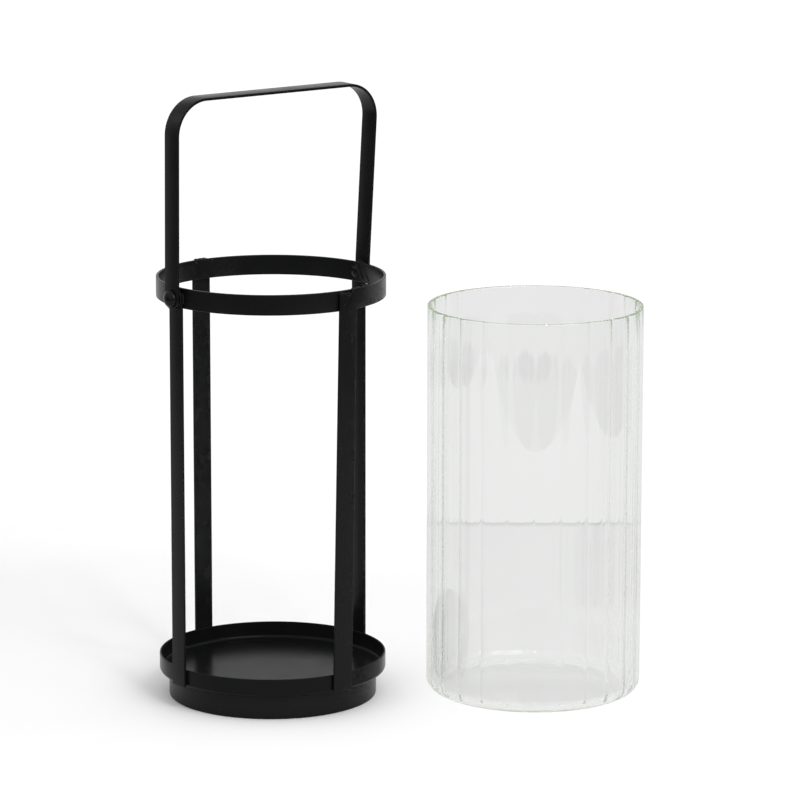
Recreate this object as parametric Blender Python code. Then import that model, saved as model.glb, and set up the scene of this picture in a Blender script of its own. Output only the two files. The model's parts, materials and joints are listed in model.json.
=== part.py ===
"""Hurricane candle lantern: a black flat-bar cage with a swinging bail, and its loose fluted glass cylinder.

The cage is a round foot pan, a wider tray pan on it, four upright flat bars standing round the tray and a
band ring near their tops. Two of the uprights, at opposite ends of the pivot axis, carry the bail on a pair
of dome-headed rivets. The glass stands on the table beside the cage.

Metres, +Z up. The origin is the centre of the foot's underside, on the table. The cage's own layout is turned
about +Z: its local x axis, along the bail's pivot axis, points PIVOT_AZIMUTH anticlockwise of +X.
"""

import math

import bmesh
import bpy
from mathutils import Vector

# Running gap that neighbouring pieces keep.
GAP = 0.0003

# Flat bar: the two uprights under the rivets are the narrowest, the two side uprights the widest.
BAR_THICKNESS = 0.0015
PIVOT_BAR_WIDTH = 0.0105
BAIL_WIDTH = 0.0111
SIDE_BAR_WIDTH = 0.0119

# Layout of the cage.
PIVOT_AZIMUTH = math.radians(40.4)
PIVOT_OFFSET = 0.0019
PIVOT_HEIGHT = 0.2318

# Band ring near the top.
RING_RADIUS = 0.0634
RING_THICKNESS = 0.0015
RING_BOTTOM = 0.2264
RING_TOP = 0.2376

# Tray pan, pressed from sheet.
SHEET = 0.0009
TRAY_RADIUS = 0.0632
TRAY_UNDERSIDE = 0.0137
TRAY_RIM = 0.0240
TRAY_CORNER = 0.0024

# Foot pan under the tray.
FOOT_RADIUS = 0.0579
FOOT_CORNER = 0.0012

# Uprights: they end level with the tray's lower edge, and stand clear of the ring and the tray's wall.
UPRIGHT_BOTTOM = 0.0145
UPRIGHT_FACE = RING_RADIUS + GAP
SIDE_UPRIGHT_TOP = RING_TOP - 0.0012

# The front right upright is welded on slightly askew, turned on its own length by this much at each end.
FOOT_TURN = math.radians(6.4)
TOP_TURN = math.radians(-2.3)

# Rivets and washers. A rivet's tail stands off the ring's curved inner face by a little more than the gap.
SHANK_RADIUS = 0.0020
HOLE_RADIUS = SHANK_RADIUS + GAP
WASHER_RADIUS = 0.0062
WASHER_THICKNESS = 0.0007
HEAD_RADIUS = 0.0048
HEAD_EDGE = 0.0005
HEAD_HEIGHT = 0.0032
TAIL_RADIUS = 0.0032
TAIL_HEIGHT = 0.0010
TAIL_STAND_OFF = 0.0006

# The two ends of the pivot axis, as signs along the layout's x axis.
SIDES = {"left": -1, "right": 1}

# Bail: an upside-down U of flat bar. Its legs stand square at the rivets, then spread a little. Corners are
# (along the pivot axis, height above it), where the bar's middle lines would meet.
LEG_CENTRE = UPRIGHT_FACE + BAR_THICKNESS + GAP + WASHER_THICKNESS + GAP + BAR_THICKNESS / 2
LEG_FOOT = 0.0060
LEG_SQUARE = 0.0080
LEFT_CORNER = (-0.0684, 0.1083)
RIGHT_CORNER = (0.0711, 0.1066)
BAIL_CORNER_RADIUS = 0.0190
BAIL_TILT = math.radians(1.55)

# Fluted glass, standing on the table. It is blown thin: the flutes are wide and meet in narrow ribs that
# stand in from the bore, and the outside is round but for faint grooves over the ribs, deepest at the heel.
GLASS_CENTRE = (0.1461, 0.0108)
GLASS_RADIUS = 0.0600
GLASS_HEIGHT = 0.2190
GLASS_WALL = 0.0020
GLASS_BASE = 0.0026
GLASS_OUTER_CORNER = 0.0070
GLASS_INNER_CORNER = 0.0055
RIM_EDGE = 0.0007
FLUTES = 24
FLUTE_PHASE = math.radians(-1.3)
RIB_SHARPNESS = 3.2
RIB_HEIGHT = 0.00060
GROOVE_DEPTH = 0.00018

# Facets.
ROUND_STEPS = 72
SMALL_STEPS = 24
RIB_OFFSETS = (-0.22, -0.07, 0, 0.07, 0.22, 0.5)
ARC_STEPS = 4
RIM_STEPS = 2
BAIL_ARC_STEPS = 10
UPRIGHT_STEPS = 4


def clear_scene():
    for obj in list(bpy.data.objects):
        bpy.data.objects.remove(obj)


def make_material(name, color, roughness, metallic=0.0, transmission=0.0):
    material = bpy.data.materials.new(name)
    material.use_nodes = True
    shader = material.node_tree.nodes["Principled BSDF"]
    shader.inputs["Base Color"].default_value = (*color, 1.0)
    shader.inputs["Roughness"].default_value = roughness
    shader.inputs["Metallic"].default_value = metallic
    shader.inputs["Transmission Weight"].default_value = transmission
    return material


def black_paint(name):
    return make_material(name + "_paint", (0.018, 0.019, 0.019), 0.38)


def add_empty(name, location, parent=None):
    empty = bpy.data.objects.new(name, None)
    empty.location = location
    empty.parent = parent
    bpy.context.scene.collection.objects.link(empty)
    return empty


def add_piece(name, bm, material, parent=None, smooth=True):
    """Links the bmesh as one named object, with its faces turned outwards."""
    bmesh.ops.recalc_face_normals(bm, faces=bm.faces)
    mesh = bpy.data.meshes.new(name)
    bm.to_mesh(mesh)
    bm.free()
    if material:
        mesh.materials.append(material)
    if smooth:
        mesh.shade_smooth()
        mesh.set_sharp_from_angle(angle=math.radians(30))
    obj = bpy.data.objects.new(name, mesh)
    obj.parent = parent
    bpy.context.scene.collection.objects.link(obj)
    return obj


def arc(centre, radius, start, end, steps):
    """Points (x, y) on an arc about centre, angles in degrees, both ends included."""
    points = []
    for step in range(steps + 1):
        angle = math.radians(start + (end - start) * step / steps)
        points.append((centre[0] + radius * math.cos(angle), centre[1] + radius * math.sin(angle)))
    return points


def turned(profile, steps, closed=False):
    """Spins a profile of (radius, height) points about the local z axis.

    An open profile starts and ends on the axis. A closed one is a loop that stays off it.
    """
    bm = bmesh.new()
    verts = [bm.verts.new((radius, 0.0, height)) for radius, height in profile]
    pairs = list(zip(verts, verts[1:]))
    if closed:
        pairs.append((verts[-1], verts[0]))
    edges = [bm.edges.new(pair) for pair in pairs]
    bmesh.ops.spin(
        bm,
        geom=verts + edges,
        cent=(0, 0, 0),
        axis=(0, 0, 1),
        angle=math.tau,
        steps=steps,
        use_merge=True,
    )
    bmesh.ops.remove_doubles(bm, verts=bm.verts, dist=1e-6)
    return bm


def flat_bar(stations):
    """Lofts a bar through its stations, each (centre, half width as a vector, facing as a unit vector)."""
    bm = bmesh.new()
    sections = []
    for centre, across, facing in stations:
        lift = facing * BAR_THICKNESS / 2
        near_side, far_side = centre - across, centre + across
        corners = (near_side + lift, far_side + lift, far_side - lift, near_side - lift)
        sections.append([bm.verts.new(corner) for corner in corners])
    for near, far in zip(sections, sections[1:]):
        for i in range(4):
            j = (i + 1) % 4
            bm.faces.new((near[i], near[j], far[j], far[i]))
    bm.faces.new(sections[0])
    bm.faces.new(sections[-1])
    return bm


def round_end(radius):
    """(distance back from the tip, half width) along a bar's rounded end, from a small flat at the tip."""
    points = []
    for degrees in (15, 30, 45, 60, 75, 90):
        angle = math.radians(degrees)
        points.append((radius * (1 - math.cos(angle)), radius * math.sin(angle)))
    return points


def cut(obj, cutter):
    modifier = obj.modifiers.new("cut_" + cutter.name, "BOOLEAN")
    modifier.operation = "DIFFERENCE"
    modifier.solver = "EXACT"
    modifier.object = cutter


def make_pivot_cutter(pivot, side):
    """A rod along the pivot axis that clears the rivet's hole through ring, upright and leg."""
    near = RING_RADIUS - RING_THICKNESS - 0.004
    far = LEG_CENTRE + 0.004
    profile = [(0, near), (HOLE_RADIUS, near), (HOLE_RADIUS, far), (0, far)]
    cutter = add_piece("pivot_cutter_" + side, turned(profile, SMALL_STEPS), None, pivot)
    cutter.rotation_euler = (0, SIDES[side] * math.pi / 2, 0)
    cutter.hide_render = True
    cutter.display_type = "WIRE"
    return cutter


def make_ring(layout, cutters):
    inner = RING_RADIUS - RING_THICKNESS
    profile = [(RING_RADIUS, RING_TOP), (RING_RADIUS, RING_BOTTOM), (inner, RING_BOTTOM), (inner, RING_TOP)]
    ring = add_piece("upper_ring", turned(profile, ROUND_STEPS, closed=True), black_paint("ring"), layout)
    for cutter in cutters:
        cut(ring, cutter)


def pan_profile(radius, underside, rim, corner):
    """Section of a pressed pan, from the middle of its underside round the rim to the middle of its floor."""
    floor = underside + SHEET
    inner = radius - SHEET
    inner_corner = corner - SHEET / 2
    profile = [(0, underside)]
    profile += arc((radius - corner, underside + corner), corner, -90, 0, ARC_STEPS)
    profile += [(radius, rim), (inner, rim)]
    profile += arc((inner - inner_corner, floor + inner_corner), inner_corner, 0, -90, ARC_STEPS)
    profile.append((0, floor))
    return profile


def make_pans(layout):
    tray = pan_profile(TRAY_RADIUS, TRAY_UNDERSIDE, TRAY_RIM, TRAY_CORNER)
    add_piece("tray", turned(tray, ROUND_STEPS), black_paint("tray"), layout)
    foot = pan_profile(FOOT_RADIUS, 0.0, TRAY_UNDERSIDE - GAP, FOOT_CORNER)
    add_piece("foot", turned(foot, ROUND_STEPS), black_paint("foot"), layout)


def make_pivot_upright(layout, name, side, cutter):
    """An upright under a rivet: square across the pivot axis, its top end rounded about the rivet."""
    out = Vector((SIDES[side], 0, 0))
    across = Vector((0, 1, 0))
    foot = out * (UPRIGHT_FACE + BAR_THICKNESS / 2) + across * PIVOT_OFFSET
    half = PIVOT_BAR_WIDTH / 2
    top = PIVOT_HEIGHT + half
    stations = [(foot + Vector((0, 0, UPRIGHT_BOTTOM)), across * half, out)]
    for back, half_width in reversed(round_end(half)):
        stations.append((foot + Vector((0, 0, top - back)), across * half_width, out))
    upright = add_piece(name, flat_bar(stations), black_paint(name), layout)
    cut(upright, cutter)


def make_side_upright(layout, name, side, foot_shift, top_shift, foot_turn, top_turn):
    """An upright midway between the rivets. Each end may be shifted along the ring and turned in place."""
    stations = []
    for step in range(UPRIGHT_STEPS + 1):
        share = step / UPRIGHT_STEPS
        shift = foot_shift + (top_shift - foot_shift) * share
        turn = foot_turn + (top_turn - foot_turn) * share
        out = Vector((math.sin(turn), math.cos(turn), 0)) * side
        across = Vector((math.cos(turn), -math.sin(turn), 0))
        stand_off = (UPRIGHT_FACE + BAR_THICKNESS / 2 - side * shift * math.sin(turn)) / math.cos(turn)
        height = UPRIGHT_BOTTOM + (SIDE_UPRIGHT_TOP - UPRIGHT_BOTTOM) * share
        stations.append((Vector((shift, side * stand_off, height)), across * SIDE_BAR_WIDTH / 2, out))
    add_piece(name, flat_bar(stations), black_paint(name), layout)


def make_washer(pivot, side):
    inner = UPRIGHT_FACE + BAR_THICKNESS + GAP
    outer = inner + WASHER_THICKNESS
    profile = [(WASHER_RADIUS, outer), (WASHER_RADIUS, inner), (HOLE_RADIUS, inner), (HOLE_RADIUS, outer)]
    bm = turned(profile, SMALL_STEPS, closed=True)
    washer = add_piece("washer_" + side, bm, black_paint("washer"), pivot)
    washer.rotation_euler = (0, SIDES[side] * math.pi / 2, 0)


def make_rivet(pivot, side):
    """Domed head outside the leg, shank through the stack, low flat tail inside the ring."""
    seat = LEG_CENTRE + BAR_THICKNESS / 2 + GAP
    edge = seat + HEAD_EDGE
    dome_height = HEAD_HEIGHT - HEAD_EDGE
    tail_face = RING_RADIUS - RING_THICKNESS - TAIL_STAND_OFF
    tail_end = tail_face - TAIL_HEIGHT
    profile = [(0, tail_end), (TAIL_RADIUS * 0.8, tail_end), (TAIL_RADIUS, tail_end + TAIL_HEIGHT * 0.4)]
    profile += [(TAIL_RADIUS, tail_face), (SHANK_RADIUS, tail_face)]
    profile += [(SHANK_RADIUS, seat), (HEAD_RADIUS, seat)]
    for degrees in (0, 18, 36, 54, 72):
        angle = math.radians(degrees)
        profile.append((HEAD_RADIUS * math.cos(angle), edge + dome_height * math.sin(angle)))
    profile.append((0, edge + dome_height))
    rivet = add_piece("rivet_" + side, turned(profile, SMALL_STEPS), black_paint("rivet"), pivot)
    rivet.rotation_euler = (0, SIDES[side] * math.pi / 2, 0)


def bail_centre_line():
    """(x, z) points of the bail's middle line, from the left leg's tip up, over and down to the right's."""
    left_top = Vector(LEFT_CORNER)
    right_top = Vector(RIGHT_CORNER)
    left_bend = Vector((-LEG_CENTRE, LEG_SQUARE))
    right_bend = Vector((LEG_CENTRE, LEG_SQUARE))
    line = [left_bend]
    line += fillet(left_bend, left_top, right_top)
    line += fillet(left_top, right_top, right_bend)
    line.append(right_bend)
    return line


def fillet(before, corner, after):
    """Points of the arc that rounds a corner of the bail between two straight runs."""
    towards_before = (before - corner).normalized()
    towards_after = (after - corner).normalized()
    half_angle = towards_before.angle(towards_after) / 2
    inwards = (towards_before + towards_after).normalized()
    middle = corner + inwards * BAIL_CORNER_RADIUS / math.sin(half_angle)
    start = corner + towards_before * BAIL_CORNER_RADIUS / math.tan(half_angle) - middle
    sweep = math.pi - 2 * half_angle
    points = []
    for step in range(BAIL_ARC_STEPS + 1):
        angle = -sweep * step / BAIL_ARC_STEPS
        turned_arm = Vector((start.x * math.cos(angle) - start.y * math.sin(angle),
                             start.x * math.sin(angle) + start.y * math.cos(angle)))
        points.append(middle + turned_arm)
    return points


def make_bail(pivot, cutters):
    across = Vector((0, BAIL_WIDTH / 2, 0))
    line = bail_centre_line()
    stations = []
    for index, point in enumerate(line):
        before = line[max(index - 1, 0)]
        after = line[min(index + 1, len(line) - 1)]
        run = (after - before).normalized()
        stations.append((Vector((point.x, 0, point.y)), across, Vector((-run.y, 0, run.x))))
    left_tip = []
    right_tip = []
    for back, half_width in round_end(BAIL_WIDTH / 2):
        height = back - LEG_FOOT
        half = Vector((0, half_width, 0))
        left_tip.append((Vector((-LEG_CENTRE, 0, height)), half, Vector((-1, 0, 0))))
        right_tip.append((Vector((LEG_CENTRE, 0, height)), half, Vector((1, 0, 0))))
    stations = left_tip + stations + right_tip[::-1]
    bail = add_piece("bail_handle", flat_bar(stations), black_paint("bail"), pivot)
    bail.rotation_euler = (BAIL_TILT, 0, 0)
    for cutter in cutters:
        cut(bail, cutter)


def around_flutes():
    """(angle, share) round the glass. Share is 1 on a rib between two flutes and falls off fast beside it."""
    points = []
    for flute in range(FLUTES):
        for offset in RIB_OFFSETS:
            share = (1 - 2 * abs(offset)) ** RIB_SHARPNESS
            points.append((FLUTE_PHASE + math.tau * (flute + offset) / FLUTES, share))
    return points


def glass_profile():
    """(radius, height, depth of groove or height of rib) from the underside's edge to the floor's edge."""
    corner = GLASS_OUTER_CORNER
    bore = GLASS_RADIUS - GLASS_WALL
    shoulder = GLASS_HEIGHT - RIM_EDGE
    inner_corner = (bore - GLASS_INNER_CORNER, GLASS_BASE + GLASS_INNER_CORNER)
    profile = []
    for step, (radius, height) in enumerate(arc((GLASS_RADIUS - corner, corner), corner, -90, 0, ARC_STEPS)):
        profile.append((radius, height, GROOVE_DEPTH * min(1, 2 * step / ARC_STEPS)))
    profile.append((GLASS_RADIUS, GLASS_HEIGHT / 4, GROOVE_DEPTH * 0.2))
    for radius, height in arc((GLASS_RADIUS - RIM_EDGE, shoulder), RIM_EDGE, 0, 90, RIM_STEPS):
        profile.append((radius, height, GROOVE_DEPTH * 0.2))
    for radius, height in arc((bore + RIM_EDGE, shoulder), RIM_EDGE, 90, 180, RIM_STEPS):
        profile.append((radius, height, RIB_HEIGHT * (bore + RIM_EDGE - radius) / RIM_EDGE))
    for step, (radius, height) in enumerate(arc(inner_corner, GLASS_INNER_CORNER, 0, -90, ARC_STEPS)):
        profile.append((radius, height, RIB_HEIGHT * min(1, 2 * (1 - step / ARC_STEPS))))
    return profile


def make_glass():
    """A fluted tumbler: all but round outside, narrow ribs inside, thin wall and flat base."""
    bm = bmesh.new()
    around = around_flutes()
    count = len(around)
    rings = []
    for radius, height, depth in glass_profile():
        ring = []
        for angle, share in around:
            reach = radius - depth * share
            ring.append(bm.verts.new((reach * math.cos(angle), reach * math.sin(angle), height)))
        rings.append(ring)
    for lower, upper in zip(rings, rings[1:]):
        for i in range(count):
            j = (i + 1) % count
            bm.faces.new((lower[i], lower[j], upper[j], upper[i]))
    bm.faces.new(rings[0])
    bm.faces.new(rings[-1])
    material = make_material("clear_glass", (0.93, 0.97, 0.95), 0.03, transmission=1.0)
    glass = add_piece("glass_cylinder", bm, material)
    glass.location = (*GLASS_CENTRE, 0)


def main():
    clear_scene()
    layout = add_empty("cage_layout", (0, 0, 0))
    layout.rotation_euler = (0, 0, PIVOT_AZIMUTH)
    pivot = add_empty("pivot_axis", (0, PIVOT_OFFSET, PIVOT_HEIGHT), layout)
    cutters = {side: make_pivot_cutter(pivot, side) for side in SIDES}
    make_ring(layout, cutters.values())
    make_pans(layout)
    make_pivot_upright(layout, "upright_front_left", "left", cutters["left"])
    make_pivot_upright(layout, "upright_back_right", "right", cutters["right"])
    make_side_upright(layout, "upright_back_left", 1, 0.0013, 0.0012, 0.0, 0.0)
    make_side_upright(layout, "upright_front_right", -1, -0.0027, 0.0015, FOOT_TURN, TOP_TURN)
    for side in SIDES:
        make_washer(pivot, side)
        make_rivet(pivot, side)
    make_bail(pivot, cutters.values())
    make_glass()


main()
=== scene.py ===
"""Looks of the hurricane candle lantern: flat bar, weld beads, black powder coat and fluted glass.

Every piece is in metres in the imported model's frame. "Layout" coordinates are (along the bail's
pivot axis, across it, up), with the cage's middle as origin.
"""

import json
import math
import random

import bmesh
import bpy
import numpy as np
from mathutils import Matrix, Vector


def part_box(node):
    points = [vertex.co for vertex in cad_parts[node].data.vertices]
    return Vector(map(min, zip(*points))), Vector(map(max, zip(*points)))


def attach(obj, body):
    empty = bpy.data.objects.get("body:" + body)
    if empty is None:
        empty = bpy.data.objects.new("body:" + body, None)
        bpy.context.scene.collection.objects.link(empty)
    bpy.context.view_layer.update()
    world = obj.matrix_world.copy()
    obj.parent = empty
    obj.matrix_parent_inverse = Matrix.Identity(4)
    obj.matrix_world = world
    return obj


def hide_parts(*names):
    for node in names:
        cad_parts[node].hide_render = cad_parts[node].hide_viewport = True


# Flat bar and sheet.
BAR_THICKNESS = 0.0015
BAR_EDGE = 0.00042
SHEET = 0.0009
SHEET_EDGE = 0.0004

# Pans: the radius of the pressed corner between wall and floor.
TRAY_CORNER = 0.0024
FOOT_CORNER = 0.0009

# Bail. Its legs stand BAIL_LEG out along the pivot axis, reach BAIL_FOOT below it and stand square up
# to BAIL_SQUARE above it. Corners are (along the axis, above it), where the middle lines would meet.
BAIL_WIDTH = 0.0111
BAIL_LEG = 0.06725
BAIL_FOOT = 0.0060
BAIL_SQUARE = 0.0080
BAIL_LEFT_CORNER = (-0.0684, 0.1083)
BAIL_RIGHT_CORNER = (0.0711, 0.1066)
BAIL_CORNER_RADIUS = 0.0190
BAIL_TILT = math.radians(1.55)
HOLE_RADIUS = 0.0023

# Rivets. Seats are distances along the pivot axis from its middle. A head's or tail's edge is its
# upright part under the dome.
SHANK_RADIUS = 0.0020
HEAD_SEAT = 0.0682
HEAD_RADIUS = 0.0048
HEAD_HEIGHT = 0.0032
HEAD_EDGE = 0.0003
TAIL_SEAT = 0.0619
TAIL_RADIUS = 0.0033
TAIL_HEIGHT = 0.0011
TAIL_EDGE = 0.0001
WASHER_EDGE = 0.0002

# Glass. The underside is hollow by GLASS_PUNT in its middle, and flat over PUNT_MARGIN at its edge.
GLASS_WALL = 0.0020
GLASS_BASE = 0.0026
GLASS_OUTER_CORNER = 0.0070
GLASS_INNER_CORNER = 0.0055
GLASS_PUNT = 0.0008
PUNT_MARGIN = 0.003
FLUTES = 24
FLUTE_PHASE = math.radians(-1.3)
RIB_SHARPNESS = 3.2
RIB_HEIGHT = 0.00060
GROOVE_DEPTH = 0.00018
RIM_EDGE = 0.0007

# Mesh fineness. RIB_SHARES are the places of corners from a rib to the middle of its flute.
ROUND_STEPS = 240
SMALL_STEPS = 48
RIB_SHARES = (0, 0.015, 0.04, 0.08, 0.14, 0.22, 0.32, 0.45, 0.6, 0.8, 1)
ARC_STEPS = 12
BEND_STEPS = 18
BAR_STEPS = 24
RIM_STEPS = 6
DOME_STEPS = 12
TAIL_STEPS = 8
SEAM_STEPS = 15
BEAD_VOXEL = 0.00022

# Powder coat: its orange peel, its patches of gloss, and its colour on faces and, a little lighter, on
# sharp edges.
PEEL_SCALE = 900.0
PEEL_DEPTH = 0.0002
PATCH_SCALE = 60.0
COAT_GLOSS = 0.14
PAN_GLOSS = 0.08
COAT_BLACK = (0.0045, 0.0050, 0.00475, 1)
COAT_EDGE_LIGHTER = (0.0110, 0.0114, 0.0110, 1)

# Glass as a material: its slow waves are drawn out upright by WAVE_DRAW.
GLASS_IOR = 1.49
GLASS_CLEAR = (0.985, 0.99, 0.985, 1)
GLASS_GREEN = (0.875, 0.905, 0.85, 1)
GLASS_DENSITY = 12.0
WAVE_SCALE = 110.0
WAVE_DRAW = 0.03
WAVE_STRENGTH = 0.02
WAVE_DEPTH = 0.0006

# White table that the object stands on: left and right edges, front and back edges, and its white as
# it lights the object and as it is seen directly, where it is painted lighter as painted light, with a
# painted line of shade at its back. Reaches are (start, end) distances in from the back.
TABLE_X = (-0.77, 0.89)
TABLE_Y = (-0.72, 0.41)
TABLE_DROP = 0.0001
TABLE_WHITE = 0.76
# Painted shade: the share of the white left in the line along the back edge.
BACK_SHADE = 0.80
BACK_SHADE_REACH = (0.014, 0.003)
# Painted light: the white that the camera sees directly, lighter than the white that lights the
# object.
PAINTED_LIGHT_WHITE = 0.935
PAINTED_LIGHT_REACH = (0.20, 0.02)

# Room: brightness overhead and of the walls, then how much darker some directions are. The gaps are in
# front and to the sides, the floor is below the horizon in front, and the back is above the backdrop.
# Bands are (start, end) along a component of the direction: X, Y or Z, or -Y for nearer, -Z for below.
CEILING = 1.0
WALLS = 0.82
CEILING_BAND = (0.12, 0.45)
GAP_DEPTH = 0.5
SIDE_GAP_BAND = (0.88, 0.96)
FRONT_GAP_BAND = (0.90, 0.96)
FLOOR_DEPTH = 0.72
FLOOR_NEARER_BAND = (-0.45, -0.15)
FLOOR_BELOW_BAND = (0.0, 0.04)
BACK_DEPTH = 0.5
BACK_FURTHER_BAND = (0.2, 0.5)
BACK_ABOVE_BAND = (0.17, 0.32)
ROOM_STRENGTH = 1.03
SURROUND_STRENGTH = 1.05

# Softboxes: name, place, target, (width, height) and power in watts.
SOFTBOXES = (
    ("key", (1.0, -1.3, 1.2), (0.05, 0, 0.1), (1.0, 1.0), 12),
    ("sparkle", (0.5, -1.3, 1.5), (0.1, 0, 0.1), (0.2, 0.2), 4),
    ("back", (0.1, 1.9, 1.6), (0.05, 0.9, 0), (2.0, 1.2), 2),
)

# Camera: a long lens, as the straight-sided glass shows.
LENS = 200
CAMERA_PLACE = (0.0711, -2.4084, 0.6720)
CAMERA_PITCH = math.radians(11.84)
CAMERA_ROLL = math.radians(0.1)
SENSOR_WIDTH = 36

# Most times that light may bounce on inside the glass.
BOUNCES = 256

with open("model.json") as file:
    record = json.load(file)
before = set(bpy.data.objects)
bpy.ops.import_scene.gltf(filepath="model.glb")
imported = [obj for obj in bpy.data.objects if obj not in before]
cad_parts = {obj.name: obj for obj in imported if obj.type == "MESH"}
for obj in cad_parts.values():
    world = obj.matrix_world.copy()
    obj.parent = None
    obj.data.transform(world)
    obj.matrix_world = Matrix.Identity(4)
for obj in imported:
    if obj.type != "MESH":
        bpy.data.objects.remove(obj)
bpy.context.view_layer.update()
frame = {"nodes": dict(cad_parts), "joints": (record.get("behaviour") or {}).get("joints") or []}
SWING = next(joint for joint in frame["joints"] if joint["name"] == "bail_swing")
PIVOT = Vector(SWING["pos_m"])
ALONG = Vector(SWING["axis"]).normalized()
ACROSS = Vector((-ALONG.y, ALONG.x, 0))
UP = Vector((0, 0, 1))
PIVOT_OFFSET = PIVOT.dot(ACROSS)


def layout(along, across, height):
    """The row-frame point at these layout coordinates."""
    return ALONG * along + ACROSS * across + UP * height


def cad_points(node):
    """The CAD node's corners at rest, in the row frame, each once."""
    points = np.array([vertex.co for vertex in frame["nodes"][node].data.vertices])
    return np.unique(np.round(points, 7), axis=0)


def add_piece(name, bm, material, body, replaced=(), sharp=35):
    """Links the bmesh as a piece of the object, which rides on a CAD body and stands for CAD nodes."""
    bmesh.ops.recalc_face_normals(bm, faces=bm.faces)
    mesh = bpy.data.meshes.new(name)
    bm.to_mesh(mesh)
    bm.free()
    mesh.shade_smooth()
    mesh.set_sharp_from_angle(angle=math.radians(sharp))
    mesh.materials.append(material)
    piece = bpy.data.objects.new(name, mesh)
    bpy.context.scene.collection.objects.link(piece)
    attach(piece, body)
    if replaced:
        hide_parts(*replaced)
    return piece


# ---------------------------------------------------------------- shapes


def arc(centre, radius, start, end, steps):
    """Points (x, y) on an arc about centre, angles in degrees, both ends included."""
    points = []
    for step in range(steps + 1):
        angle = math.radians(start + (end - start) * step / steps)
        points.append((centre[0] + radius * math.cos(angle), centre[1] + radius * math.sin(angle)))
    return points


def turned(profile, steps, closed=False):
    """Spins (radius, height) points about the z axis. An open profile starts and ends on it."""
    bm = bmesh.new()
    verts = [bm.verts.new((radius, 0.0, height)) for radius, height in profile]
    pairs = list(zip(verts, verts[1:]))
    if closed:
        pairs.append((verts[-1], verts[0]))
    edges = [bm.edges.new(pair) for pair in pairs]
    bmesh.ops.spin(
        bm,
        geom=verts + edges,
        cent=(0, 0, 0),
        axis=(0, 0, 1),
        angle=math.tau,
        steps=steps,
        use_merge=True,
    )
    bmesh.ops.remove_doubles(bm, verts=bm.verts, dist=1e-7)
    return bm


def flat_blank(outline, square_ends=()):
    """A flat bar laid out straight: local x along it, y across, z through it, long edges rounded.

    outline is (distance along, half width) from one end to the other. square_ends holds 0 or -1 for
    an end that is cut square, whose corners are then rounded as well.
    """
    bm = bmesh.new()
    half = BAR_THICKNESS / 2
    rungs = []
    for along, half_width in outline:
        corners = (
            (-half_width, half),
            (half_width, half),
            (half_width, -half),
            (-half_width, -half),
        )
        rungs.append([bm.verts.new((along, y, z)) for y, z in corners])
    for near, far in zip(rungs, rungs[1:]):
        for i in range(4):
            j = (i + 1) % 4
            bm.faces.new((near[i], near[j], far[j], far[i]))
    bm.faces.new(rungs[0])
    bm.faces.new(rungs[-1])
    bmesh.ops.recalc_face_normals(bm, faces=bm.faces)
    rims = []
    for edge in bm.edges:
        one, other = edge.verts
        through = abs(one.co.z - other.co.z) > BAR_THICKNESS / 2
        at_square_end = any(one in rungs[end] and other in rungs[end] for end in square_ends)
        if edge.calc_face_angle(0) > math.radians(60) and (not through or at_square_end):
            rims.append(edge)
    bmesh.ops.bevel(
        bm,
        geom=rims,
        offset=BAR_EDGE,
        segments=4,
        profile=0.5,
        affect="EDGES",
        clamp_overlap=True,
    )
    return bm


def round_end(radius):
    """(distance back from the tip, half width) along a bar's rounded end."""
    points = []
    for step in range(1, ARC_STEPS + 1):
        angle = math.pi / 2 * step / ARC_STEPS
        points.append((radius * (1 - math.cos(angle)), radius * math.sin(angle)))
    return points


def drill(bm, along, radius):
    """Cuts a round hole through a flat blank at its middle line."""
    blank = bpy.data.meshes.new("blank")
    bm.to_mesh(blank)
    bm.free()
    drill_bm = bmesh.new()
    bmesh.ops.create_cone(
        drill_bm,
        cap_ends=True,
        segments=SMALL_STEPS,
        radius1=radius,
        radius2=radius,
        depth=BAR_THICKNESS * 4,
        matrix=Matrix.Translation((along, 0, 0)),
    )
    bit_mesh = bpy.data.meshes.new("bit")
    drill_bm.to_mesh(bit_mesh)
    drill_bm.free()
    bar = bpy.data.objects.new("bar", blank)
    bit = bpy.data.objects.new("bit", bit_mesh)
    for obj in (bar, bit):
        bpy.context.scene.collection.objects.link(obj)
    cut = bar.modifiers.new("cut", "BOOLEAN")
    cut.object = bit
    drilled = evaluated(bar)
    bpy.data.objects.remove(bit)
    return drilled


def evaluated(obj):
    """The object's mesh with its modifiers applied, as a bmesh. The object is removed."""
    graph = bpy.context.evaluated_depsgraph_get()
    graph.update()
    bm = bmesh.new()
    bm.from_mesh(obj.evaluated_get(graph).data)
    bpy.data.objects.remove(obj)
    return bm


def bend(bm, line):
    """Bends a straight blank along a line of (along, up) points, its outer face on the line's left."""
    points = [Vector(point) for point in line]
    lengths = [0.0]
    for here, there in zip(points, points[1:]):
        lengths.append(lengths[-1] + (there - here).length)
    normals = []
    for index in range(len(points)):
        before = points[max(index - 1, 0)]
        after = points[min(index + 1, len(points) - 1)]
        run = (after - before).normalized()
        normals.append(Vector((-run.y, run.x)))
    for vertex in bm.verts:
        distance, sideways, lift = vertex.co
        index = int(np.clip(np.searchsorted(lengths, distance) - 1, 0, len(points) - 2))
        share = (distance - lengths[index]) / (lengths[index + 1] - lengths[index])
        place = points[index].lerp(points[index + 1], share)
        normal = normals[index].lerp(normals[index + 1], min(max(share, 0), 1))
        place += normal.normalized() * lift
        vertex.co = Vector((place.x, sideways, place.y))


# ---------------------------------------------------------------- materials


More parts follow.
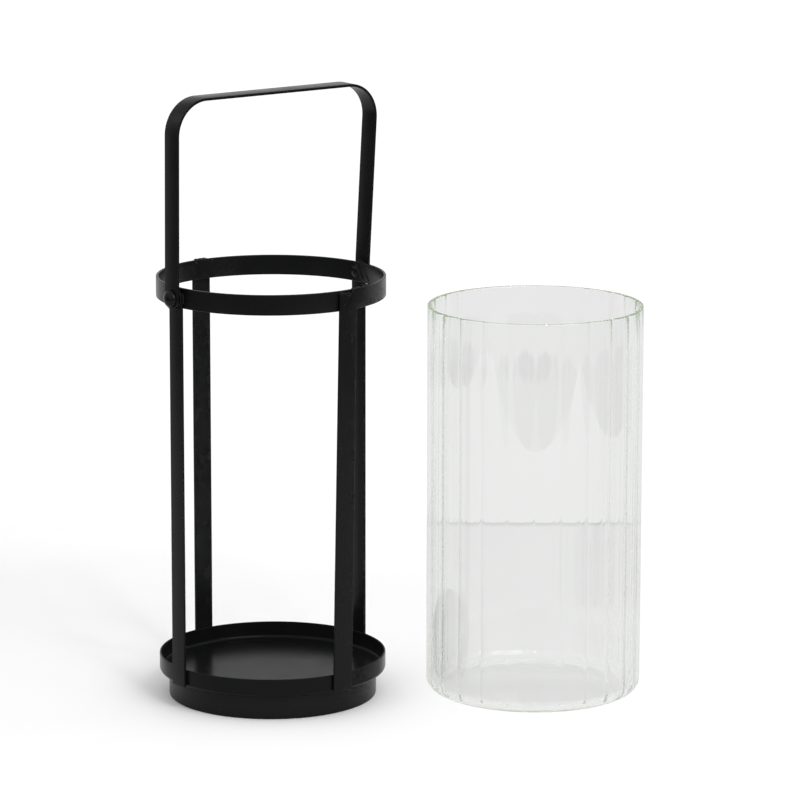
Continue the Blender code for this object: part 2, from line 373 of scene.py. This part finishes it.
class Nodes:
    """A material's or world's node tree, with short calls to add nodes and set their sockets."""

    def __init__(self, owner):
        owner.use_nodes = True
        self.tree = owner.node_tree

    def add(self, kind, inputs=(), **settings):
        """A new node with these settings. Inputs go by a socket's name or number."""
        node = self.tree.nodes.new(kind)
        for setting, value in settings.items():
            setattr(node, setting, value)
        for socket, value in dict(inputs).items():
            self.set(node, socket, value)
        return node

    def set(self, node, socket, value):
        """Gives a socket a number or colour, or links another node's output to it."""
        if isinstance(value, bpy.types.NodeSocket):
            self.tree.links.new(value, node.inputs[socket])
        else:
            node.inputs[socket].default_value = value

    def compute(self, operation, *values):
        """A Math node's result."""
        inputs = dict(enumerate(values))
        return self.add("ShaderNodeMath", inputs, operation=operation).outputs["Value"]

    def spread(self, value, start, end, low, high, kind="LINEAR"):
        """Goes from low to high as the value goes from start to end."""
        inputs = {"Value": value, "From Min": start, "From Max": end, "To Min": low, "To Max": high}
        return self.add("ShaderNodeMapRange", inputs, interpolation_type=kind).outputs["Result"]

    def fade(self, value, start, end, low, high):
        """The same, with soft ends."""
        return self.spread(value, start, end, low, high, kind="SMOOTHSTEP")

    def noise(self, place, scale, detail, roughness=0.5):
        inputs = {"Vector": place, "Scale": scale, "Detail": detail, "Roughness": roughness}
        return self.add("ShaderNodeTexNoise", inputs).outputs["Fac"]

    def bump(self, shader, height, strength, distance):
        """Makes the shader's surface rise and fall with a height."""
        inputs = {"Height": height, "Strength": strength, "Distance": distance}
        self.set(shader, "Normal", self.add("ShaderNodeBump", inputs).outputs["Normal"])

    def place(self):
        """The point's place in its object."""
        return self.add("ShaderNodeTexCoord").outputs["Object"]


def new_material(name):
    """A new material, its node tree and its shader."""
    material = bpy.data.materials.new(name)
    nodes = Nodes(material)
    return material, nodes, nodes.tree.nodes["Principled BSDF"]


def powder_coat(name, rough_low, rough_high, peel, gloss=COAT_GLOSS):
    """Black satin powder coat: fine orange peel, patches of gloss, sharp edges a little lighter."""
    material, nodes, shader = new_material(name)
    place = nodes.place()
    cells = nodes.noise(place, PEEL_SCALE, 3.0, 0.55)
    patches = nodes.noise(place, PATCH_SCALE, 4.0, 0.6)
    nodes.set(shader, "Roughness", nodes.spread(patches, 0.3, 0.7, rough_low, rough_high))
    edges = nodes.add("ShaderNodeNewGeometry").outputs["Pointiness"]
    # Lighter where the surface is sharply convex, at the edges.
    edge_tone = nodes.add("ShaderNodeValToRGB", {"Fac": edges})
    face, edge = edge_tone.color_ramp.elements
    face.position, face.color = 0.50, COAT_BLACK
    edge.position, edge.color = 0.62, COAT_EDGE_LIGHTER
    nodes.set(shader, "Base Color", edge_tone.outputs["Color"])
    nodes.bump(shader, cells, peel, PEEL_DEPTH)
    nodes.set(shader, "Specular IOR Level", gloss)
    return material


def clear_glass():
    """Clear blown glass, faintly green through its thickness, with slow upright waves."""
    material, nodes, shader = new_material("clear_glass")
    mapping = {"Vector": nodes.place(), "Scale": (1, 1, WAVE_DRAW)}
    drawn = nodes.add("ShaderNodeMapping", mapping).outputs["Vector"]
    nodes.bump(shader, nodes.noise(drawn, WAVE_SCALE, 2.0), WAVE_STRENGTH, WAVE_DEPTH)
    nodes.set(shader, "Base Color", GLASS_CLEAR)
    nodes.set(shader, "Roughness", 0.0)
    nodes.set(shader, "IOR", GLASS_IOR)
    nodes.set(shader, "Transmission Weight", 1.0)
    absorption = {"Color": GLASS_GREEN, "Density": GLASS_DENSITY}
    green = nodes.add("ShaderNodeVolumeAbsorption", absorption)
    nodes.set(nodes.tree.nodes["Material Output"], "Volume", green.outputs["Volume"])
    return material


def table_white():
    """White laminate with a soft painted line of shade along its back, which shows only through the
    glass.

    What the camera sees directly is painted whiter, as painted light like that of a studio table lit
    for a catalogue, and it grows whiter still towards the back.
    """
    material, nodes, shader = new_material("table_white")
    depth = nodes.add("ShaderNodeSeparateXYZ", {"Vector": nodes.place()}).outputs["Y"]
    back = TABLE_Y[1]
    start, end = BACK_SHADE_REACH
    # Painted shade: a darker line along the back edge, seen only through the glass.
    shaded = nodes.fade(depth, back - start, back - end, TABLE_WHITE, TABLE_WHITE * BACK_SHADE)
    start, end = PAINTED_LIGHT_REACH
    # Painted light: what the camera sees directly is whiter, and whiter still near the back.
    painted_light = nodes.fade(depth, back - start, back - end, PAINTED_LIGHT_WHITE, 1.0)
    direct = nodes.add("ShaderNodeLightPath").outputs["Is Camera Ray"]
    whites = {"Factor": direct, "A": shaded, "B": painted_light}
    colour = nodes.add("ShaderNodeMix", whites, data_type="RGBA")
    nodes.set(shader, "Base Color", colour.outputs["Result"])
    nodes.set(shader, "Roughness", 0.6)
    nodes.set(shader, "Specular IOR Level", 0.1)
    return material


COAT = powder_coat("black_powder_coat", 0.23, 0.30, 0.10)
PAN_COAT = powder_coat("pan_powder_coat", 0.19, 0.25, 0.10, gloss=PAN_GLOSS)
WELD_COAT = powder_coat("weld_powder_coat", 0.20, 0.28, 0.16)
RIVET_COAT = powder_coat("rivet_powder_coat", 0.16, 0.24, 0.06)
GLASS = clear_glass()


# ---------------------------------------------------------------- cage


def make_ring():
    """The band at the top: flat bar rolled into a circle, its edges rounded."""
    low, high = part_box("upper_ring")
    outer = (high.x - low.x) / 2
    inner = outer - BAR_THICKNESS
    edge = BAR_EDGE
    profile = arc((outer - edge, high.z - edge), edge, 90, 0, ARC_STEPS)
    profile += arc((outer - edge, low.z + edge), edge, 0, -90, ARC_STEPS)
    profile += arc((inner + edge, low.z + edge), edge, -90, -180, ARC_STEPS)
    profile += arc((inner + edge, high.z - edge), edge, 180, 90, ARC_STEPS)
    bm = turned(profile, ROUND_STEPS, closed=True)
    add_piece("ring_band", bm, COAT, "cage", ["upper_ring"])


def pan(node, corner):
    """A pressed pan of the CAD node's radius and heights: rounded rim, pressed corner, flat floor."""
    low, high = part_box(node)
    outer = (high.x - low.x) / 2
    inner = outer - SHEET
    floor = low.z + SHEET
    inner_corner = corner - SHEET / 2
    edge = SHEET_EDGE
    profile = [(0, low.z), (outer * 0.5, low.z)]
    profile += arc((outer - corner, low.z + corner), corner, -90, 0, ARC_STEPS)
    profile += arc((outer - edge, high.z - edge), edge, 0, 90, ARC_STEPS)
    profile += arc((inner + edge, high.z - edge), edge, 90, 180, ARC_STEPS)
    profile += arc((inner - inner_corner, floor + inner_corner), inner_corner, 0, -90, ARC_STEPS)
    profile += [(inner * 0.5, floor), (0, floor)]
    return turned(profile, ROUND_STEPS)


def make_pans():
    """The tray that the glass stands in, and the foot under it."""
    add_piece("tray_pan", pan("tray", TRAY_CORNER), PAN_COAT, "cage", ["tray"])
    add_piece("foot_pan", pan("foot", FOOT_CORNER), COAT, "cage", ["foot"])


def make_pivot_upright(node, side):
    """An upright under a rivet, rounded about the rivet at its top, with the rivet's hole."""
    corners = cad_points(node)
    along = corners @ np.array(ALONG)
    across = corners @ np.array(ACROSS)
    bottom, top = corners[:, 2].min(), corners[:, 2].max()
    width = across.max() - across.min()
    length = top - bottom
    outline = [(length * step / BAR_STEPS, width / 2) for step in range(BAR_STEPS)]
    outline = [point for point in outline if point[0] < length - width]
    outline += [(length - back, half_width) for back, half_width in reversed(round_end(width / 2))]
    bm = drill(flat_blank(outline, square_ends=[0]), PIVOT.z - bottom, HOLE_RADIUS)
    middle = (along.max() + along.min()) / 2
    for vertex in bm.verts:
        distance, sideways, lift = vertex.co
        vertex.co = layout(middle + side * lift, PIVOT_OFFSET + sideways, bottom + distance)
    add_piece(node.replace("upright", "bar"), bm, COAT, "cage", [node])


def level_corners(corners, height):
    """Those of the corners that lie at this height."""
    return corners[np.abs(corners[:, 2] - height) < 1e-4]


def bar_end(corners, height):
    """(middle, direction across the bar) of the CAD bar's square end at this height."""
    end = level_corners(corners, height)
    middle = end.mean(axis=0)
    across = np.linalg.svd(end - middle)[2][0]
    return Vector(middle), Vector(across * np.sign(across @ np.array(ALONG)))


def make_side_upright(node, side):
    """An upright midway between the rivets, square at both ends, set and turned as the CAD bar is."""
    corners = cad_points(node)
    bottom, top = corners[:, 2].min(), corners[:, 2].max()
    low_middle, low_across = bar_end(corners, bottom)
    high_middle, high_across = bar_end(corners, top)
    length = top - bottom
    reach = level_corners(corners, bottom)[:, :2] - np.array(low_middle.xy)
    half_diagonal = np.linalg.norm(reach, axis=1).max()
    half_width = math.sqrt(half_diagonal**2 - (BAR_THICKNESS / 2) ** 2)
    outline = [(length * step / BAR_STEPS, half_width) for step in range(BAR_STEPS + 1)]
    bm = flat_blank(outline, square_ends=[0, -1])
    for vertex in bm.verts:
        distance, sideways, lift = vertex.co
        share = distance / length
        across = low_across.lerp(high_across, share).normalized()
        out = Vector((across.y, -across.x, 0)) * -side
        vertex.co = low_middle.lerp(high_middle, share) + across * sideways + out * lift
    add_piece(node.replace("upright", "bar"), bm, COAT, "cage", [node])


def make_uprights():
    """The two uprights under the rivets and the two between them."""
    make_pivot_upright("upright_front_left", -1)
    make_pivot_upright("upright_back_right", 1)
    make_side_upright("upright_back_left", 1)
    make_side_upright("upright_front_right", -1)


def spun_on_pivot(profile, side):
    """A turned (radius, distance along the pivot axis) profile, placed at one end of the axis."""
    bm = turned(profile, SMALL_STEPS, closed=profile[0][0] > 0)
    for vertex in bm.verts:
        sideways, lift, along = vertex.co
        vertex.co = PIVOT + ALONG * side * along + ACROSS * sideways + UP * lift
    return bm


def make_rivet(name, side):
    """Domed head outside the bail's leg, shank through the stack, and set tail inside the ring."""
    profile = []
    dome_height = TAIL_HEIGHT - TAIL_EDGE
    for step in range(TAIL_STEPS + 1):
        angle = math.pi / 2 * step / TAIL_STEPS
        along = TAIL_SEAT - TAIL_EDGE - dome_height * math.cos(angle)
        profile.append((TAIL_RADIUS * math.sin(angle), along))
    profile += [(TAIL_RADIUS, TAIL_SEAT), (SHANK_RADIUS, TAIL_SEAT), (SHANK_RADIUS, HEAD_SEAT)]
    profile += arc((HEAD_RADIUS - HEAD_EDGE, HEAD_SEAT + HEAD_EDGE), HEAD_EDGE, -90, 0, 3)
    dome_height = HEAD_HEIGHT - HEAD_EDGE
    for step in range(1, DOME_STEPS):
        angle = math.pi / 2 * step / DOME_STEPS
        along = HEAD_SEAT + HEAD_EDGE + dome_height * math.sin(angle)
        profile.append((HEAD_RADIUS * math.cos(angle), along))
    profile.append((0, HEAD_SEAT + HEAD_EDGE + dome_height))
    bm = spun_on_pivot(profile, side)
    add_piece(name + "_dome", bm, RIVET_COAT, "cage", [name])


def make_washer(name, side):
    """Spacer between the upright and the bail's leg, with the CAD washer's radius and place."""
    corners = cad_points(name) - np.array(PIVOT)
    along = np.abs(corners @ np.array(ALONG))
    near, far = along.min(), along.max()
    radius = np.abs(corners[:, 2]).max()
    edge = WASHER_EDGE
    profile = arc((radius - edge, far - edge), edge, 90, 0, 3)
    profile += arc((radius - edge, near + edge), edge, 0, -90, 3)
    profile += [(HOLE_RADIUS, near), (HOLE_RADIUS, far)]
    add_piece(name + "_disc", spun_on_pivot(profile, side), COAT, "cage", [name])


def make_rivets():
    """A rivet and a washer at each end of the pivot axis."""
    for name, side in (("left", -1), ("right", 1)):
        make_rivet("rivet_" + name, side)
        make_washer("washer_" + name, side)


# ---------------------------------------------------------------- welds


def bead(name, places, radius, seed):
    """A weld bead: molten lumps run together along the places, then coated over."""
    rng = random.Random(seed)
    bm = bmesh.new()
    for place in places:
        for _ in range(2):
            size = radius * rng.uniform(0.75, 1.2)
            shift = Vector([rng.uniform(-0.35, 0.35) * radius for _ in range(3)])
            stretch = (rng.uniform(0.9, 1.25), rng.uniform(0.9, 1.25), rng.uniform(0.7, 1.0), 1)
            matrix = Matrix.Translation(place + shift) @ Matrix.Diagonal(stretch)
            bmesh.ops.create_icosphere(bm, subdivisions=2, radius=size, matrix=matrix)
    mesh = bpy.data.meshes.new("lumps")
    bm.to_mesh(mesh)
    bm.free()
    lumps = bpy.data.objects.new("lumps", mesh)
    bpy.context.scene.collection.objects.link(lumps)
    remesh = lumps.modifiers.new("melt", "REMESH")
    remesh.mode = "VOXEL"
    remesh.voxel_size = BEAD_VOXEL
    smooth = lumps.modifiers.new("flow", "SMOOTH")
    smooth.iterations = 6
    add_piece(name, evaluated(lumps), WELD_COAT, "cage", sharp=180)


def along_line(start, end, count):
    """Evenly spaced points, both ends included."""
    return [start.lerp(end, step / (count - 1)) for step in range(count)]


def on_ring(radius, degrees, height):
    """A point at this radius about the cage's axis, this far round from the pivot axis's right end."""
    angle = math.radians(degrees)
    return layout(radius * math.cos(angle), radius * math.sin(angle), height)


def round_ring(radius, start, sweep, top, drop):
    """Points that go round by sweep degrees from start while they go down by drop from top."""
    shares = [step / SEAM_STEPS for step in range(SEAM_STEPS + 1)]
    return [on_ring(radius, start + share * sweep, top - share * drop) for share in shares]


def make_welds():
    """Beads where the uprights meet the ring and the tray."""
    ring_low, ring_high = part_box("upper_ring")
    ring = (ring_high.x - ring_low.x) / 2
    top = ring_high.z
    # Front right: a bead that sags in the middle of the bar's top, a lump at each end of it, and
    # drops along the ring's top edge beside it.
    face = -ring - 0.0017
    sag = (
        (-0.0032, -0.0006),
        (-0.0020, -0.0014),
        (-0.0008, -0.0022),
        (0.0004, -0.0027),
        (0.0014, -0.0029),
        (0.0024, -0.0026),
        (0.0034, -0.0020),
        (0.0044, -0.0010),
        (0.0052, 0.0001),
    )
    places = [layout(along, face, top + rise) for along, rise in sag]
    bead("weld_front_right_top", places, 0.0006, 11)
    lumps = [layout(-0.0028, face + 0.0006, top - 0.0013), layout(0.0050, face + 0.0006, top)]
    bead("weld_front_right_lump", lumps, 0.0010, 15)
    drops = []
    for along in (0.0072, 0.0094, 0.0112, 0.0140, 0.0150):
        drops.append(layout(along, -math.sqrt((ring - 0.0003) ** 2 - along**2), top - 0.0001))
    bead("weld_front_right_drops", drops, 0.0007, 17)
    # Back left: a low run across the bar's top, standing just above the ring.
    start = layout(-0.0030, ring + 0.0006, top - 0.0003)
    end = layout(0.0045, ring + 0.0006, top - 0.0003)
    bead("weld_back_left_top", along_line(start, end, 7), 0.0009, 12)
    # Back right: the ring's joint slants down its inner face, with a scar beside the rivet's tail
    # and a bead along its lower edge.
    inner = ring - BAR_THICKNESS
    bead("ring_joint", round_ring(inner, -3.0, -9.0, top, 0.0122), 0.0005, 18)
    bead("ring_scar", round_ring(inner, 1.2, -5.4, top - 0.0015, 0.0075), 0.0006, 19)
    lower_edge = round_ring(ring - 0.0008, -4.0, -8.0, top - 0.0121, 0.0)
    bead("weld_back_right_low", lower_edge, 0.0008, 20)
    # The two pivot bars: a short run down one edge, in the corner between bar and ring.
    for side, name, seed in ((-1, "front_left", 12), (1, "back_right", 14)):
        start = layout(side * (ring + 0.0004), PIVOT_OFFSET - 0.0052, top - 0.0080)
        end = layout(side * (ring + 0.0004), PIVOT_OFFSET - 0.0052, top - 0.0030)
        bead("weld_" + name + "_top", along_line(start, end, 5), 0.0006, seed)


# ---------------------------------------------------------------- bail


def fillet(before, corner, after):
    """Points of the arc that rounds a corner of the bail between two straight runs."""
    to_before = (before - corner).normalized()
    to_after = (after - corner).normalized()
    half_angle = to_before.angle(to_after) / 2
    inwards = (to_before + to_after).normalized()
    middle = corner + inwards * BAIL_CORNER_RADIUS / math.sin(half_angle)
    start = corner + to_before * BAIL_CORNER_RADIUS / math.tan(half_angle) - middle
    sweep = math.pi - 2 * half_angle
    points = []
    for step in range(BEND_STEPS + 1):
        angle = -sweep * step / BEND_STEPS
        cosine, sine = math.cos(angle), math.sin(angle)
        arm = Vector((start.x * cosine - start.y * sine, start.x * sine + start.y * cosine))
        points.append(middle + arm)
    return points


def bail_line():
    """(along, up) points of the bail's middle line, from the left leg's tip to the right leg's."""
    left_top = Vector(BAIL_LEFT_CORNER)
    right_top = Vector(BAIL_RIGHT_CORNER)
    left_bend = Vector((-BAIL_LEG, BAIL_SQUARE))
    right_bend = Vector((BAIL_LEG, BAIL_SQUARE))
    line = [Vector((-BAIL_LEG, -BAIL_FOOT)), left_bend]
    line += fillet(left_bend, left_top, right_top)
    line += fillet(left_top, right_top, right_bend)
    line += [right_bend, Vector((BAIL_LEG, -BAIL_FOOT))]
    return line


def make_bail():
    """One flat bar, both ends rounded and drilled, bent into an upside-down U and tilted."""
    line = bail_line()
    stops = [0.0]
    for here, there in zip(line, line[1:]):
        stops.append(stops[-1] + (there - here).length)
    length = stops[-1]
    half = BAIL_WIDTH / 2
    ends = round_end(half)
    straight = half + 0.002
    outline = list(ends)
    outline += [(stop, half) for stop in stops if straight < stop < length - straight]
    outline += [(length - back, half_width) for back, half_width in reversed(ends)]
    bm = flat_blank(outline)
    bm = drill(bm, BAIL_FOOT, HOLE_RADIUS)
    bm = drill(bm, length - BAIL_FOOT, HOLE_RADIUS)
    bend(bm, line)
    tilt = Matrix.Rotation(BAIL_TILT, 4, "X")
    turn = Matrix.Rotation(math.atan2(ALONG.y, ALONG.x), 4, "Z")
    bm.transform(Matrix.Translation(PIVOT) @ turn @ tilt)
    add_piece("bail_bar", bm, COAT, "bail", ["bail_handle"])


# ---------------------------------------------------------------- glass


def around_flutes():
    """(angle, share) round the glass: share is 1 on a rib and falls off quickly to the flutes."""
    pitch = math.tau / FLUTES
    points = []
    for flute in range(FLUTES):
        rib = FLUTE_PHASE + flute * pitch
        offsets = [share / 2 for share in RIB_SHARES]
        offsets += [1 - offset for offset in reversed(offsets[1:-1])]
        for offset in offsets:
            share = (1 - 2 * min(offset, 1 - offset)) ** RIB_SHARPNESS
            points.append((rib + offset * pitch, share))
    return points


def glass_profile(outer, height):
    """(radius, height, depth) from the underside's middle to the floor's.

    The depth is that of the groove or of the rib at a rib's place.
    """
    corner = GLASS_OUTER_CORNER
    bore = outer - GLASS_WALL
    shoulder = height - RIM_EDGE
    inner_corner = (bore - GLASS_INNER_CORNER, GLASS_BASE + GLASS_INNER_CORNER)
    profile = []
    for step in range(1, 9):
        radius = (outer - corner - PUNT_MARGIN) * step / 8
        profile.append((radius, GLASS_PUNT * (1 - (step / 8) ** 2), 0.0))
    heel = arc((outer - corner, corner), corner, -90, 0, ARC_STEPS)
    for step, (radius, z) in enumerate(heel):
        profile.append((radius, z, GROOVE_DEPTH * min(1, 2 * step / ARC_STEPS)))
    for step in range(1, 12):
        z = corner + (shoulder - corner) * step / 12
        profile.append((outer, z, GROOVE_DEPTH * max(0.2, 1 - step / 3)))
    for radius, z in arc((outer - RIM_EDGE, shoulder), RIM_EDGE, 0, 90, RIM_STEPS):
        profile.append((radius, z, GROOVE_DEPTH * 0.2))
    for radius, z in arc((bore + RIM_EDGE, shoulder), RIM_EDGE, 90, 180, RIM_STEPS):
        profile.append((radius, z, RIB_HEIGHT * (bore + RIM_EDGE - radius) / RIM_EDGE))
    for step in range(7, 0, -1):
        z = inner_corner[1] + (shoulder - inner_corner[1]) * step / 8
        profile.append((bore, z, RIB_HEIGHT))
    inner_heel = arc(inner_corner, GLASS_INNER_CORNER, 0, -90, ARC_STEPS)
    for step, (radius, z) in enumerate(inner_heel):
        profile.append((radius, z, RIB_HEIGHT * min(1, 2 * (1 - step / ARC_STEPS))))
    for step in range(7, 0, -1):
        profile.append((inner_corner[0] * step / 8, GLASS_BASE, 0.0))
    return profile


def make_glass():
    """The blown cylinder: ribs inside, faint grooves outside, rounded heel, hollow underside."""
    corners = cad_points("glass_cylinder")
    low, high = corners.min(axis=0), corners.max(axis=0)
    centre = Vector((low + high) / 2).to_2d()
    height = high[2]
    outer = np.linalg.norm(corners[:, :2] - np.array(centre), axis=1).max()
    bm = bmesh.new()
    around = around_flutes()
    rings = []
    for radius, z, depth in glass_profile(outer, height):
        ring = []
        for angle, share in around:
            reach = radius - depth * share
            x = centre.x + reach * math.cos(angle)
            y = centre.y + reach * math.sin(angle)
            ring.append(bm.verts.new((x, y, z)))
        rings.append(ring)
    count = len(around)
    for lower, upper in zip(rings, rings[1:]):
        for i in range(count):
            j = (i + 1) % count
            bm.faces.new((lower[i], lower[j], upper[j], upper[i]))
    for ring, z in ((rings[0], GLASS_PUNT), (rings[-1], GLASS_BASE)):
        hub = bm.verts.new((centre.x, centre.y, z))
        for i in range(count):
            bm.faces.new((ring[i], ring[(i + 1) % count], hub))
    replaced = ["glass_cylinder"]
    glass = add_piece("fluted_glass", bm, GLASS, "glass", replaced, sharp=180)
    # Light passes through clear glass to the table instead of stopping at it.
    glass.visible_shadow = False
    glass.visible_diffuse = False


# ---------------------------------------------------------------- stage


def make_table():
    """The white table top."""
    bm = bmesh.new()
    (left, right), (front, back) = TABLE_X, TABLE_Y
    corners = ((left, front), (right, front), (right, back), (left, back))
    bm.faces.new([bm.verts.new((x, y, 0)) for x, y in corners])
    mesh = bpy.data.meshes.new("table")
    bm.to_mesh(mesh)
    bm.free()
    mesh.materials.append(table_white())
    table = bpy.data.objects.new("table", mesh)
    table.location.z = -TABLE_DROP
    bpy.context.scene.collection.objects.link(table)


def softbox(name, place, target, size, power):
    """A rectangular area light at place, facing target."""
    light = bpy.data.lights.new(name, "AREA")
    light.shape = "RECTANGLE"
    light.size, light.size_y = size
    light.energy = power
    box = bpy.data.objects.new(name, light)
    box.location = place
    box.rotation_euler = (Vector(target) - Vector(place)).to_track_quat("-Z", "Y").to_euler()
    bpy.context.scene.collection.objects.link(box)


def make_room():
    """A studio: bright above and behind, dim in front and at the sides, white if seen directly."""
    world = bpy.data.worlds.new("studio")
    bpy.context.scene.world = world
    nodes = Nodes(world)
    nodes.tree.nodes.clear()
    direction = nodes.add("ShaderNodeTexCoord").outputs["Generated"]
    x, y, z = nodes.add("ShaderNodeSeparateXYZ", {"Vector": direction}).outputs
    nearer = nodes.compute("MULTIPLY", y, -1.0)
    downwards = nodes.compute("MULTIPLY", z, -1.0)
    sideways = nodes.fade(nodes.compute("ABSOLUTE", x), *SIDE_GAP_BAND, 0.0, GAP_DEPTH)
    forwards = nodes.fade(nearer, *FRONT_GAP_BAND, 0.0, GAP_DEPTH)
    in_front = nodes.fade(nearer, *FLOOR_NEARER_BAND, 0.0, 1.0)
    below = nodes.fade(downwards, *FLOOR_BELOW_BAND, 0.0, FLOOR_DEPTH)
    floor = nodes.compute("MULTIPLY", in_front, below)
    # Light that has only passed through glass, without a reflection, meets the room's front
    # undimmed. Its two depths differ by one, because the room counts as one more bounce.
    path = nodes.add("ShaderNodeLightPath").outputs
    reflections = nodes.compute("SUBTRACT", path["Ray Depth"], path["Transmission Depth"])
    unreflected = nodes.compute("LESS_THAN", reflections, 1.5)
    passed = nodes.compute("MULTIPLY", path["Is Transmission Ray"], unreflected)
    reflected = nodes.compute("SUBTRACT", 1.0, passed)
    forwards = nodes.compute("MULTIPLY", forwards, reflected)
    floor = nodes.compute("MULTIPLY", floor, reflected)
    dim = nodes.compute("MAXIMUM", nodes.compute("ADD", sideways, forwards), floor)
    around = nodes.compute("SUBTRACT", WALLS, dim)
    height = nodes.add("ShaderNodeValToRGB", {"Fac": z})
    low, high = height.color_ramp.elements
    low.position, high.position = CEILING_BAND
    blend = {"Factor": height.outputs["Color"], "A": around, "B": (CEILING, CEILING, CEILING, 1)}
    light = nodes.add("ShaderNodeMix", blend, data_type="RGBA").outputs["Result"]
    further = nodes.fade(y, *BACK_FURTHER_BAND, 0.0, 1.0)
    above = nodes.fade(z, *BACK_ABOVE_BAND, 0.0, BACK_DEPTH)
    behind = nodes.compute("MULTIPLY", further, above)
    shade = nodes.compute("SUBTRACT", light, behind)
    room = nodes.add("ShaderNodeBackground", {"Color": shade, "Strength": ROOM_STRENGTH})
    white = {"Color": (1, 1, 1, 1), "Strength": SURROUND_STRENGTH}
    surround = nodes.add("ShaderNodeBackground", white)
    choice = {
        "Fac": path["Is Camera Ray"],
        1: room.outputs["Background"],
        2: surround.outputs["Background"],
    }
    choose = nodes.add("ShaderNodeMixShader", choice)
    nodes.add("ShaderNodeOutputWorld", {"Surface": choose.outputs["Shader"]})


def make_lights():
    """The studio's softboxes."""
    for name, place, target, size, power in SOFTBOXES:
        softbox(name, place, target, size, power)


def make_camera():
    """A long lens, a little above the lantern and turned down to it."""
    data = bpy.data.cameras.new("camera")
    data.lens = LENS
    data.sensor_width = SENSOR_WIDTH
    data.clip_end = 100
    camera = bpy.data.objects.new("camera", data)
    pitch = Matrix.Rotation(math.pi / 2 - CAMERA_PITCH, 4, "X")
    roll = Matrix.Rotation(CAMERA_ROLL, 4, "Z")
    camera.matrix_world = Matrix.Translation(CAMERA_PLACE) @ pitch @ roll
    bpy.context.scene.collection.objects.link(camera)
    bpy.context.scene.camera = camera


def allow_deep_glass():
    """Lets light bounce on inside the glass wall, which otherwise turns black at edges and ribs."""
    cycles = bpy.context.scene.cycles
    cycles.max_bounces = BOUNCES
    cycles.transmission_bounces = BOUNCES
    cycles.glossy_bounces = BOUNCES


def write_sizes():
    """Brings the scene's placements up to date."""
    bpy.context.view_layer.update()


make_camera()
make_ring()
make_pans()
make_uprights()
make_rivets()
make_welds()
make_bail()
make_glass()
make_table()
make_room()
make_lights()
bpy.context.scene.view_settings.view_transform = "Standard"
write_sizes()
allow_deep_glass()
